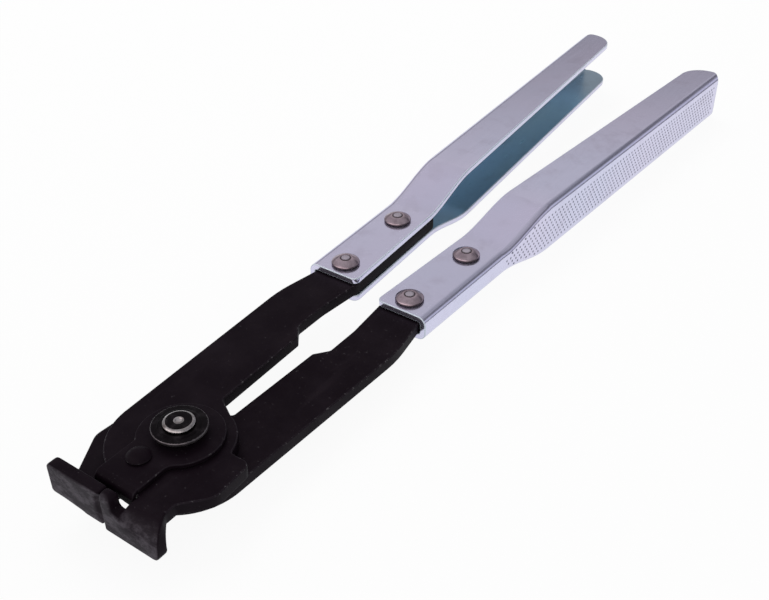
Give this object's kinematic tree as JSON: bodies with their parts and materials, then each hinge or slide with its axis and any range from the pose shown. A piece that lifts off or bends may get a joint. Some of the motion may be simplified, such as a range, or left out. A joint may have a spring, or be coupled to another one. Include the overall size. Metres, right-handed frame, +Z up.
{
  "type": "ear clamp pliers",
  "caption": "Long-handled pliers for squeezing the ears of boot clamps: two stamped black arms with bent jaws on a riveted pivot, an ear presser, and zinc plated sheet channel handles.",
  "frame": {"origin": "bottom centre of the closed tool's bounding box, on the table it lies on", "axes": "+Y runs from the jaws to the handles' ends and is the longest extent, +X points to the right handle, +Z is up, along the pivot's axis, and is the shortest extent"},
  "size_m": [0.0604, 0.2998, 0.0216],
  "materials": {
    "black_oxide": "black oxide, satin, with a faint purple cast",
    "dark_steel": "darkened steel, worn bright at the rim",
    "bright_steel": "bright steel, peened",
    "rivet_steel": "brownish grey steel, smooth",
    "zinc_plate": "zinc plated sheet steel, satin"
  },
  "bodies": {
    "lower_side": {"lower_jaw_arm": "black_oxide", "right_handle": "zinc_plate", "right_handle_rivet_front": "rivet_steel", "right_handle_rivet_rear": "rivet_steel", "pivot_rivet": "bright_steel", "pivot_spacer": "dark_steel", "pivot_washer": "dark_steel"},
    "upper_side": {"upper_jaw_arm": "black_oxide", "left_handle": "zinc_plate", "left_handle_rivet_front": "rivet_steel", "left_handle_rivet_rear": "rivet_steel", "ear_presser": "black_oxide", "presser_rivet": "black_oxide"}
  },
  "joints": [
    {"name": "pivot", "type": "hinge", "parent": "lower_side", "child": "upper_side", "pos_m": [0, -0.12365, 0.0108], "axis": [0, 0, 1], "range_deg": [0, 25]}
  ]
}
